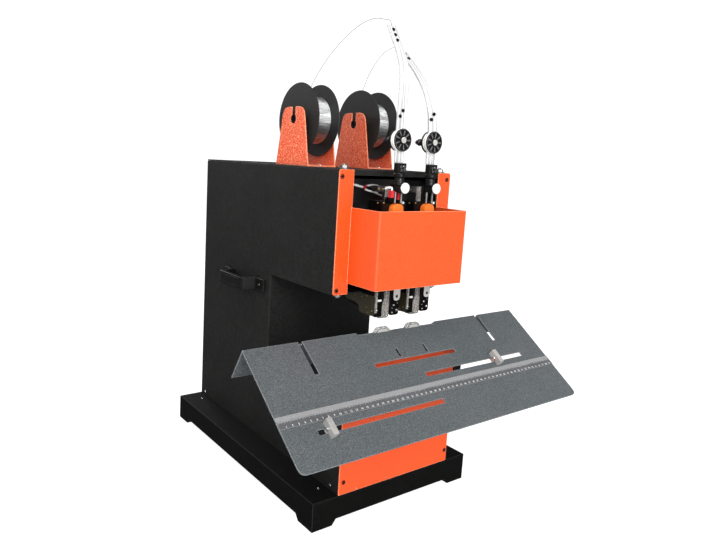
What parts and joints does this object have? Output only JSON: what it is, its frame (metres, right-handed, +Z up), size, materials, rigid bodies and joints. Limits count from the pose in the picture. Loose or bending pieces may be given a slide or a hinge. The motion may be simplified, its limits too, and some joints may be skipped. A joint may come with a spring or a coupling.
{
  "type": "wire stitching machine",
  "caption": "Desk wire stitcher with an orange head guard, wire spools on top, spring guide strips and a wide saddle table with sliding paper guides.",
  "frame": {"origin": "middle of the footprint of the whole machine, on the surface it stands on", "axes": "+Z up, +X to the right seen from the front, -Y to the front where the saddle table is"},
  "size_m": [0.6, 0.6596, 0.8203],
  "materials": {
    "black_paint": "fine textured black powder coat",
    "orange_paint": "orange hammered paint",
    "table_sheet": "dark grey hammered paint",
    "bright_steel": "zinc plated, bright",
    "dark_steel": "blued machined steel",
    "black_steel": "black oxide steel",
    "cast_block": "machined grey block",
    "black_plastic": "moulded black plastic",
    "white_plastic": "white moulded plastic",
    "red_plastic": "red moulded plastic",
    "motor_paint": "grey motor paint",
    "wound_wire": "bright tinned steel wire"
  },
  "bodies": {
    "frame": {"base_tray": "black_paint", "left_side_panel": "black_paint", "right_side_panel": "black_paint", "top_cover": "black_paint", "rear_cover": "black_paint", "column_front_cover": "black_paint", "head_floor": "black_paint", "arm_cover": "black_paint", "left_table_bracket": "black_paint", "right_table_bracket": "black_paint", "lower_front_panel": "orange_paint", "front_guard": "orange_paint", "left_spool_bracket": "orange_paint", "right_spool_bracket": "orange_paint", "saddle_table": "table_sheet", "ruler_strip": "bright_steel", "left_guide_strip": "bright_steel", "right_guide_strip": "bright_steel", "left_tension_axle": "bright_steel", "right_tension_axle": "bright_steel", "left_tie_rod": "bright_steel", "right_tie_rod": "bright_steel", "head_beam": "dark_steel", "clincher_post": "dark_steel", "left_head_body": "black_steel", "right_head_body": "black_steel", "left_wire_inlet": "black_plastic", "right_wire_inlet": "black_plastic", "left_handle": "black_plastic", "right_handle": "black_plastic", "left_spool_axle": "black_plastic", "right_spool_axle": "black_plastic", "left_tension_plate": "black_plastic", "right_tension_plate": "black_plastic", "sensor_lead": "white_plastic", "terminal_block": "red_plastic", "drive_motor": "motor_paint", "left_stitch_wire": "wound_wire", "right_stitch_wire": "wound_wire"},
    "left_spool_body": {"left_spool": "black_plastic", "left_winding": "wound_wire"},
    "right_spool_body": {"right_spool": "black_plastic", "right_winding": "wound_wire"},
    "crank": {"drive_shaft": "bright_steel"},
    "ram": {"ram_bar": "dark_steel", "left_driver_bar": "bright_steel", "right_driver_bar": "bright_steel"},
    "clinchers": {"left_clincher": "bright_steel", "right_clincher": "bright_steel"},
    "left_tension": {"left_tension_knob": "black_plastic"},
    "right_tension": {"right_tension_knob": "black_plastic"},
    "left_feed_knob_body": {"left_feed_knob": "white_plastic"},
    "right_feed_knob_body": {"right_feed_knob": "white_plastic"},
    "left_lever": {"left_feed_lever": "orange_paint"},
    "right_lever": {"right_feed_lever": "orange_paint"},
    "left_guide": {"left_guide_block": "cast_block"},
    "right_guide": {"right_guide_block": "cast_block"},
    "left_clamp": {"left_clamp_screw": "bright_steel"},
    "right_clamp": {"right_clamp_screw": "bright_steel"},
    "switch": {"rocker_switch": "black_plastic"}
  },
  "joints": [
    {"name": "left_spool_spin", "type": "hinge", "parent": "frame", "child": "left_spool_body", "pos_m": [-0.086, 0.00701, 0.6568], "axis": [1, 0, 0], "continuous": true},
    {"name": "right_spool_spin", "type": "hinge", "parent": "frame", "child": "right_spool_body", "pos_m": [0.048, 0.00701, 0.6568], "axis": [1, 0, 0], "continuous": true},
    {"name": "crank_turn", "type": "hinge", "parent": "frame", "child": "crank", "pos_m": [0, -0.12919, 0.505], "axis": [0, 1, 0], "range_deg": [0, 180]},
    {"name": "ram_slide", "type": "slide", "parent": "frame", "child": "ram", "axis": [0, 0, 1], "range_m": [-0.0125, 0]},
    {"name": "clincher_slide", "type": "slide", "parent": "frame", "child": "clinchers", "axis": [0, 0, 1], "range_m": [0, 0.0025]},
    {"name": "left_tension_turn", "type": "hinge", "parent": "frame", "child": "left_tension", "pos_m": [-0.035, -0.18619, 0.626], "axis": [0, 1, 0], "continuous": true},
    {"name": "left_feed_knob_turn", "type": "hinge", "parent": "frame", "child": "left_feed_knob_body", "pos_m": [-0.035, -0.19819, 0.551], "axis": [0, 1, 0], "continuous": true},
    {"name": "left_feed_lever_tilt", "type": "hinge", "parent": "frame", "child": "left_lever", "pos_m": [-0.035, -0.18284, 0.478], "axis": [1, 0, 0], "range_deg": [0, 20]},
    {"name": "right_tension_turn", "type": "hinge", "parent": "frame", "child": "right_tension", "pos_m": [0.035, -0.18619, 0.626], "axis": [0, 1, 0], "continuous": true},
    {"name": "right_feed_knob_turn", "type": "hinge", "parent": "frame", "child": "right_feed_knob_body", "pos_m": [0.035, -0.19819, 0.551], "axis": [0, 1, 0], "continuous": true},
    {"name": "right_feed_lever_tilt", "type": "hinge", "parent": "frame", "child": "right_lever", "pos_m": [0.035, -0.18284, 0.478], "axis": [1, 0, 0], "range_deg": [0, 20]},
    {"name": "left_guide_slide", "type": "slide", "parent": "frame", "child": "left_guide", "axis": [1, 0, 0], "range_m": [-0.013, 0.221]},
    {"name": "right_guide_slide", "type": "slide", "parent": "frame", "child": "right_guide", "axis": [1, 0, 0], "range_m": [-0.164, 0.067]},
    {"name": "left_clamp_turn", "type": "hinge", "parent": "left_guide", "child": "left_clamp", "pos_m": [-0.232, -0.29143, 0.2279], "axis": [1, 0, 0], "range_deg": [0, 360]},
    {"name": "right_clamp_turn", "type": "hinge", "parent": "right_guide", "child": "right_clamp", "pos_m": [0.161, -0.25034, 0.25776], "axis": [1, 0, 0], "range_deg": [0, 360]},
    {"name": "switch_tilt", "type": "hinge", "parent": "frame", "child": "switch", "pos_m": [0.12, 0.25581, 0.12], "axis": [0, 1, 0], "range_deg": [-8, 8]}
  ],
  "couplings": [
    {"joint": "crank_turn", "follows": "ram_slide", "rad_per_m": -251.33},
    {"joint": "clincher_slide", "follows": "ram_slide", "ratio": -0.2}
  ]
}
